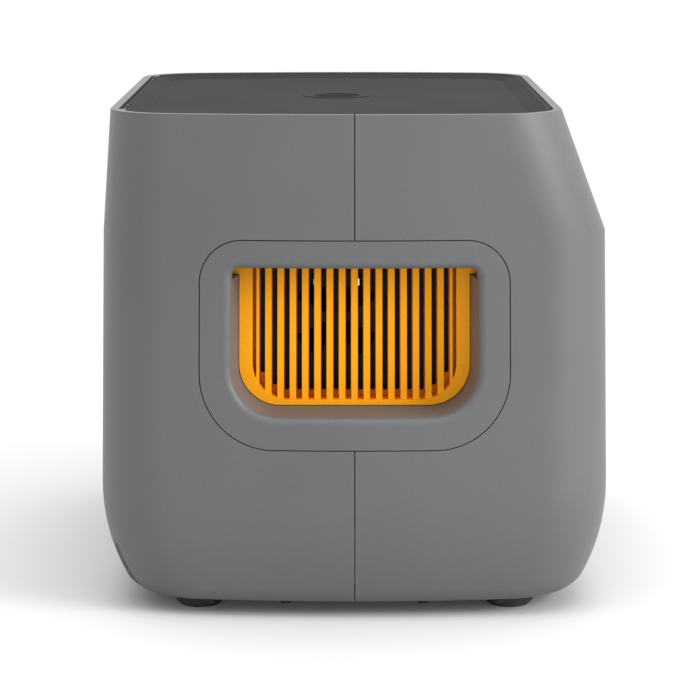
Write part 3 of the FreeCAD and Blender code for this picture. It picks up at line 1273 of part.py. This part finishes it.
def side_block(name, x, half, rise, span):
    """A block centred on the power panel's middle line."""
    return block(name, (f"{x} - {half}", f"{x} + {half}"), span, (f"power_z - {rise}", f"power_z + {rise}"))


def make_outlets():
    """Push-fit couplers for the filament tubes, each with a release collet."""
    couplers = []
    for i, x in enumerate(outlet_spots(), start=1):
        barrel = rod(f"coupler_barrel_{i}", "outlet", (x, "outlet_in", "outlet_z"),
                     "outlet_out - outlet_in", "Y")
        bore = rod(f"coupler_bore_{i}", "outlet_bore", (x, "outlet_in - past", "outlet_z"), "rear_cut", "Y")
        seat = rod(f"coupler_seat_{i}", "collet + running",
                   (x, "collet_in - collet_travel - 0.2", "outlet_z"), "rear_cut", "Y")
        couplers.append(cut(f"coupler_{i}", barrel, [bore, seat]))
        tube = rod(f"collet_tube_{i}", "collet", (x, "collet_in", "outlet_z"), "collet_out - collet_in",
                   "Y")
        head = rod(f"collet_head_{i}", "collet_head", (x, "collet_out - 0.05", "outlet_z"), "1.2", "Y")
        hole = rod(f"collet_hole_{i}", "outlet_bore", (x, "collet_in - past", "outlet_z"), "rear_cut", "Y")
        node(f"outlet_collet_{i}", cut(f"outlet_collet_{i}", fuse(f"collet_raw_{i}", [tube, head]), [hole]))
    node("outlet_couplers", group("outlet_couplers", couplers))


def cable(name, corners):
    """A round cable through straight runs and round bends."""
    points = [Vector(*(number(value) for value in corner)) for corner in corners]
    bend = number("cable_bend")
    edges = []
    start = points[0]
    for before, corner, after in zip(points, points[1:], points[2:]):
        back = (before - corner).normalize()
        ahead = (after - corner).normalize()
        half_angle = back.getAngle(ahead) / 2
        reach = bend / math.tan(half_angle)
        enter, leave = corner + back * reach, corner + ahead * reach
        crown = corner + (back + ahead).normalize() * (bend / math.sin(half_angle) - bend)
        edges += [Part.makeLine(start, enter), Part.Arc(enter, crown, leave).toShape()]
        start = leave
    edges.append(Part.makeLine(start, points[-1]))
    spine = Part.Wire(edges)
    circle = Part.Wire(Part.makeCircle(number("cable"), points[0], points[1] - points[0]))
    feature = doc.addObject("Part::Feature", name)
    feature.Shape = spine.makePipeShell([circle], True, False)
    return feature


def make_cables():
    """Mains, low-voltage and display cables."""
    node("mains_cable", cable("mains_cable", [
        ("inlet_x", "inlet_deep - 6.3", "power_z"), ("inlet_x", "supply_rear + 0.2", "power_z")]))
    level = "base_high + standoff + 14"
    node("supply_cable", cable("supply_cable", [
        ("supply_right + 0.2", "supply_front + 14", level),
                                                ("supply_right + 30", "supply_front + 14", level),
        ("supply_right + 30", "board_rear - 30", level), ("board_left + 11.8", "board_rear - 30", level)]))
    clear = "board_front - 6"
    node("display_cable", cable("display_cable", [
        ("board_right - 20", clear, "base_high + 10"), ("board_right - 20", clear, "200"),
        ("60", clear, "200"), ("60", clear, "231")]))


# ---------------------------------------------------------------- build, test and write

outer_skin, shell_band = make_housing()
make_handles(outer_skin, shell_band)
make_base()
make_lid()
make_lock()
make_chamber()
make_rollers()
make_blower()
make_heater()
make_electronics()
make_front_panel()
make_power_panel(outer_skin)
make_outlets()
make_cables()
doc.recompute()

failed = [thing.Name for thing in doc.Objects if "Invalid" in thing.State or "Error" in thing.State]
if failed:
    raise RuntimeError(f"failed: {failed}")
os.makedirs("parts", exist_ok=True)
for name, source in NODES.items():
    shape = source.Shape
    if shape.isNull() or not shape.isValid() or not shape.Solids:
        raise RuntimeError(f"{name} has no valid solid")
    shape.exportStep(f"parts/{name}.step")
    box = shape.optimalBoundingBox(False, False)
    spans = ((box.XMin, box.XMax), (box.YMin, box.YMax), (box.ZMin, box.ZMax))
    extent = "  ".join(f"{low:.1f} {high:.1f}" for low, high in spans)
    print(f"{name:22s} {len(shape.Solids):3d} solids {shape.Volume:12.1f} mm3  {extent}")
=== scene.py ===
"""Looks of the filament dryer box: materials, moulded edges, studio and camera. Lengths are in metres."""

import json
import math

import bpy
from mathutils import Euler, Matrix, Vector

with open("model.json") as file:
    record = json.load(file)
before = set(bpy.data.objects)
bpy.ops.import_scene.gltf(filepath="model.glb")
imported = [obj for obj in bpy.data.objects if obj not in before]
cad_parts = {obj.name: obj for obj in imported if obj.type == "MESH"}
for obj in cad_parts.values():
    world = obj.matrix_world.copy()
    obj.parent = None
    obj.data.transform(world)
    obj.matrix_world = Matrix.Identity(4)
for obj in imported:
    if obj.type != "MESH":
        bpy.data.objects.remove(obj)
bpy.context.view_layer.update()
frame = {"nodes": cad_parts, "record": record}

NODES = frame["nodes"]

# Edges
EDGE_RADIUS = 0.0003
EDGE_ANGLE = math.radians(30)
WELD_GAP = 0.00001

# Studio
WORLD = 1.0
WORLD_SEEN = 1.05
FLOOR_SIZE = 40
FLOOR_TONE = (0.6, 0.6, 0.6, 1)
FLOOR_NEAR = 0.3
FLOOR_FAR = 0.75
FLOOR_GLOW_NEAR = 0.03
FLOOR_GLOW_FAR = 1.02
BOX_MIDDLE = (0, 0, 0.15)

# Camera: its place, its rise above level, and a lens shift that belongs to the main view
EYE = (-1.7452, 0.0093, 0.4197)
EYE_RISE = math.radians(2.695)
EYE_NEAR = 0.0001
SHIFTS = {"shift_x": 0.0161, "shift_y": -0.8325}
SENSOR_WIDTH = 36
FOCAL_LENGTH = 137.37

BLACK = (0, 0, 0, 1)
WHITE = (1, 1, 1, 1)


# ---------------------------------------------------------------- material helpers

class Graph:
    """A material's node tree with short calls for adding and joining nodes."""

    def __init__(self, name):
        self.material = bpy.data.materials.new(name)
        self.material.use_nodes = True
        self.tree = self.material.node_tree
        self.shader = self.tree.nodes["Principled BSDF"]
        self.place = self.add("ShaderNodeTexCoord").outputs["Object"]

    def add(self, kind, **values):
        """A node with its properties and unlinked inputs set."""
        made = self.tree.nodes.new(kind)
        for key, value in values.items():
            if key in made.inputs:
                self.feed(made.inputs[key], value)
            else:
                setattr(made, key, value)
        return made

    def feed(self, socket, value):
        """Link an output, or set a plain value."""
        if isinstance(value, bpy.types.NodeSocket):
            self.tree.links.new(value, socket)
        else:
            socket.default_value = value

    def noise(self, scale, detail=2.0, rough=0.5):
        """Soft noise in object space; scale is in repeats per metre."""
        made = self.add("ShaderNodeTexNoise", Scale=scale, Detail=detail, Roughness=rough)
        self.feed(made.inputs["Vector"], self.place)
        return made.outputs["Fac"]

    def span(self, value, low, high, start=0.35, end=0.65):
        """A value spread between two limits."""
        ends = {"From Min": start, "From Max": end, "To Min": low, "To Max": high}
        made = self.add("ShaderNodeMapRange", Value=value, **ends)
        return made.outputs["Result"]

    def mix(self, factor, one, other):
        """A colour between two others."""
        made = self.add("ShaderNodeMix", data_type="RGBA")
        self.feed(made.inputs["Factor"], factor)
        self.feed(made.inputs["A"], one)
        self.feed(made.inputs["B"], other)
        return made.outputs["Result"]

    def bump(self, height, distance, strength=1.0, under=None):
        """A normal from a height; distance is in metres."""
        made = self.add("ShaderNodeBump", Strength=strength, Distance=distance)
        self.feed(made.inputs["Height"], height)
        if under is not None:
            self.feed(made.inputs["Normal"], under)
        return made.outputs["Normal"]

    def set(self, **values):
        """Inputs of the principled shader."""
        for key, value in values.items():
            self.feed(self.shader.inputs[key.replace("_", " ")], value)
        return self.material


def shade(colour, factor):
    """A lighter or darker colour."""
    return (colour[0] * factor, colour[1] * factor, colour[2] * factor, 1.0)


def moulded(name, colour, rough=0.5, grain=0.00004, texture=2200.0, mottle=0.04, gloss=0.4):
    """Moulded plastic: fine eroded texture, faint flow mottle and uneven gloss."""
    g = Graph(name)
    cloud = g.noise(9.0, 3.0)
    fine = g.noise(texture, 2.0, 0.6)
    speck = g.noise(texture * 0.37, 1.0)
    flow = g.mix(g.span(cloud, 0.0, 1.0), shade(colour, 1 - mottle), shade(colour, 1 + mottle))
    tint = g.mix(g.span(speck, 0.0, 0.25), flow, shade(colour, 0.8))
    uneven = g.span(cloud, rough - 0.04, rough + 0.04)
    normal = g.bump(speck, grain * 0.6, 1.0, g.bump(fine, grain))
    return g.set(Base_Color=tint, Roughness=uneven, Specular_IOR_Level=gloss, Normal=normal)


def metal(name, colour, rough=0.3, stretch=(1, 1, 60)):
    """Drawn or brushed metal with fine lines across one axis."""
    g = Graph(name)
    mapping = g.add("ShaderNodeMapping")
    g.feed(mapping.inputs["Vector"], g.place)
    mapping.inputs["Scale"].default_value = stretch
    drawn = g.add("ShaderNodeTexNoise", Scale=900.0, Detail=3.0)
    g.feed(drawn.inputs["Vector"], mapping.outputs["Vector"])
    lines = drawn.outputs["Fac"]
    tint = g.mix(g.span(lines, 0, 1), shade(colour, 0.85), colour)
    uneven = g.span(lines, rough - 0.08, rough + 0.1)
    return g.set(Base_Color=tint, Metallic=1.0, Roughness=uneven, Normal=g.bump(lines, 0.00002))


def cells(graph, scale, feature="F1"):
    """A cell pattern in object space."""
    made = graph.add("ShaderNodeTexVoronoi", Scale=scale, feature=feature)
    graph.feed(made.inputs["Vector"], graph.place)
    return made


def zinc(name, colour):
    """Zinc-coated sheet with its faint crystals."""
    g = Graph(name)
    crystal = cells(g, 120.0)
    tone = g.add("ShaderNodeSeparateColor")
    g.feed(tone.inputs["Color"], crystal.outputs["Color"])
    tint = g.mix(tone.outputs["Red"], shade(colour, 0.78), colour)
    uneven = g.span(tone.outputs["Green"], 0.28, 0.5, 0.0, 1.0)
    facets = g.bump(crystal.outputs["Distance"], 0.00003)
    return g.set(Base_Color=tint, Metallic=1.0, Roughness=uneven, Normal=facets)


def board(name, colour):
    """Circuit board: lacquer over copper tracks and pads."""
    g = Graph(name)
    tracks = cells(g, 260.0, "DISTANCE_TO_EDGE").outputs["Distance"]
    copper = g.span(tracks, 1.0, 0.0, 0.03, 0.08)
    pads = g.span(cells(g, 420.0).outputs["Distance"], 1.0, 0.0, 0.10, 0.14)
    lacquered = g.mix(copper, colour, (0.05, 0.26, 0.09, 1.0))
    tint = g.mix(pads, lacquered, (0.6, 0.58, 0.5, 1.0))
    tinned = g.span(pads, 0.0, 0.8, 0.0, 1.0)
    g.set(Base_Color=tint, Metallic=tinned, Roughness=0.3, Coat_Weight=0.4)
    return g.set(Normal=g.bump(copper, 0.00004))


def panel_glass(name):
    """Dark coated glass with faint smears in its gloss."""
    g = Graph(name)
    smear = g.noise(40.0, 5.0, 0.7)
    fine = g.noise(1800.0, 1.0)
    tint = g.mix(g.span(fine, 0.0, 1.0), (0.004, 0.004, 0.005, 1), (0.007, 0.007, 0.008, 1))
    return g.set(Base_Color=tint, Roughness=g.span(smear, 0.16, 0.26), Specular_IOR_Level=0.12)


MATERIALS = {
    "housing": moulded("housing_grey", (0.113, 0.1145, 0.1175, 1), 0.44),
    "grille": moulded("grille_orange", (1.0, 0.39, 0.001, 1), 0.45, 0.00002, 1500.0, 0.015, 0.2),
    "lid": moulded("lid_charcoal", (0.024, 0.0242, 0.0248, 1), 0.7, gloss=0.06),
    "liner": moulded("liner_charcoal", (0.02, 0.02, 0.021, 1), 0.5),
    "black_plastic": moulded("black_plastic", (0.012, 0.012, 0.013, 1), 0.45),
    "display": moulded("display_black", (0.015, 0.015, 0.017, 1), 0.3, 0.00001),
    "collet": moulded("collet_black", (0.02, 0.021, 0.026, 1), 0.3, 0.00001),
    "button": moulded("button_soft", (0.022, 0.022, 0.024, 1), 0.6, 0.00003),
    "cable": moulded("cable_sheath", (0.014, 0.014, 0.015, 1), 0.4, 0.00005, 700.0),
    "rubber": moulded("rubber_black", (0.042, 0.042, 0.042, 1), 0.75, 0.00008, 900.0),
    "steel": metal("steel", (0.62, 0.62, 0.63, 1), 0.25),
    "black_steel": metal("black_steel", (0.035, 0.035, 0.036, 1), 0.4),
    "aluminium": metal("aluminium", (0.78, 0.79, 0.8, 1), 0.32, (1, 40, 1)),
    "brass": metal("brass", (0.72, 0.5, 0.2, 1), 0.28, (60, 1, 1)),
    "zinc_sheet": zinc("zinc_sheet", (0.6, 0.61, 0.63, 1)),
    "board": board("circuit_board", (0.008, 0.075, 0.022, 1)),
    "glass": panel_glass("display_glass"),
}
SAME_LOOK = {"surround": "housing"}
# Painted shade: the shutter pins are drawn black instead of their slot's steel, so no bright pin shows
# through the grille slots.
SHADE_DARKENED_NODES = ("shutter_pins",)


def finish_nodes():
    """Gives every CAD node the material of its slot in the record, but the shutter pins get black steel in
    place of their steel, as painted shade that keeps the slots behind the grille dark.
    """
    for part in frame["record"]["subparts"]:
        name = part["node"]
        slot = part["material_slot"]
        # Painted shade: the listed pins take black steel, not the finish of their slot.
        look = "black_steel" if name in SHADE_DARKENED_NODES else SAME_LOOK.get(slot, slot)
        surfaces = NODES[name].data.materials
        surfaces.clear()
        surfaces.append(MATERIALS.get(look, MATERIALS["black_plastic"]))


# ---------------------------------------------------------------- edges

def soften(obj):
    """Small moulded radii on the sharp edges of a CAD node, and smooth shading."""
    weld = obj.modifiers.new("weld", "WELD")
    weld.merge_threshold = WELD_GAP
    bevel = obj.modifiers.new("edge", "BEVEL")
    bevel.width = EDGE_RADIUS
    bevel.segments = 2
    bevel.limit_method = "ANGLE"
    bevel.angle_limit = EDGE_ANGLE
    bevel.harden_normals = False
    for polygon in obj.data.polygons:
        polygon.use_smooth = True
    normals = obj.modifiers.new("normals", "WEIGHTED_NORMAL")
    normals.keep_sharp = True


def soften_nodes():
    """Rounds every node but the cables, which have no sharp edges."""
    for name, obj in NODES.items():
        if not name.endswith("_cable"):
            soften(obj)


# ---------------------------------------------------------------- studio

def area_light(name, place, size, power):
    """A soft square light aimed at the middle of the box."""
    light = bpy.data.lights.new(name, "AREA")
    light.shape = "SQUARE"
    light.size = size
    light.energy = power
    obj = bpy.data.objects.new(name, light)
    bpy.context.scene.collection.objects.link(obj)
    obj.location = place
    obj.rotation_euler = (Vector(BOX_MIDDLE) - Vector(place)).to_track_quat("-Z", "Y").to_euler()


def surround():
    """An even white world, a little brighter where the camera sees it."""
    world = bpy.data.worlds.new("studio")
    bpy.context.scene.world = world
    world.use_nodes = True
    tree = world.node_tree
    background = tree.nodes["Background"]
    background.inputs["Color"].default_value = WHITE
    seen = tree.nodes.new("ShaderNodeLightPath").outputs["Is Camera Ray"]
    strength = tree.nodes.new("ShaderNodeMapRange")
    strength.inputs["To Min"].default_value = WORLD
    strength.inputs["To Max"].default_value = WORLD_SEEN
    tree.links.new(seen, strength.inputs["Value"])
    tree.links.new(strength.outputs["Result"], background.inputs["Strength"])


def pale_floor():
    """A floor that takes the box's shadow and fades to plain white away from it."""
    bpy.ops.mesh.primitive_plane_add(size=FLOOR_SIZE)
    floor = bpy.context.object
    floor.name = "floor"
    g = Graph("floor_white")
    reach = g.add("ShaderNodeVectorMath", operation="LENGTH")
    g.feed(reach.inputs[0], g.place)
    ends = {"From Min": FLOOR_NEAR, "From Max": FLOOR_FAR}
    fade = g.add("ShaderNodeMapRange", interpolation_type="SMOOTHSTEP", Value=reach.outputs["Value"], **ends)
    away = fade.outputs["Result"]
    g.set(Base_Color=g.mix(away, FLOOR_TONE, BLACK), Roughness=1.0, Specular_IOR_Level=0.0)
    g.set(Emission_Color=WHITE, Emission_Strength=g.span(away, FLOOR_GLOW_NEAR, FLOOR_GLOW_FAR, 0.0, 1.0))
    floor.data.materials.append(g.material)
    return floor


def drive(owner, path, camera, axis, expression):
    """Works a property out from one coordinate of the camera, called place in the expression."""
    driver = owner.driver_add(path).driver
    place = driver.variables.new()
    place.name = "place"
    place.targets[0].id = camera
    place.targets[0].data_path = f"location[{axis}]"
    driver.expression = expression


def camera(floor):
    """The main view: from the left side, slightly above, with a long lens and a lens shift."""
    data = bpy.data.cameras.new("camera")
    obj = bpy.data.objects.new("camera", data)
    bpy.context.scene.collection.objects.link(obj)
    bpy.context.scene.camera = obj
    obj.location = EYE
    obj.rotation_euler = Euler((math.pi / 2 + EYE_RISE, 0, -math.pi / 2))
    data.sensor_width = SENSOR_WIDTH
    data.lens = FOCAL_LENGTH
    data.clip_start = 0.05
    # From any place but the main one the camera looks straight ahead, with no shift.
    for path, shift in SHIFTS.items():
        drive(data, path, obj, 0, f"{shift} * (abs(place - {EYE[0]}) < {EYE_NEAR})")
    # The floor is left out when the camera looks from below.
    drive(floor, "hide_render", obj, 2, "place < 0")


finish_nodes()
soften_nodes()
surround()
camera(pale_floor())
area_light("key", (-1.1, -2.0, 1.0), 1.2, 50)
area_light("top", (0.0, 0.0, 2.6), 2.4, 60)
bpy.context.scene.view_settings.view_transform = "Standard"
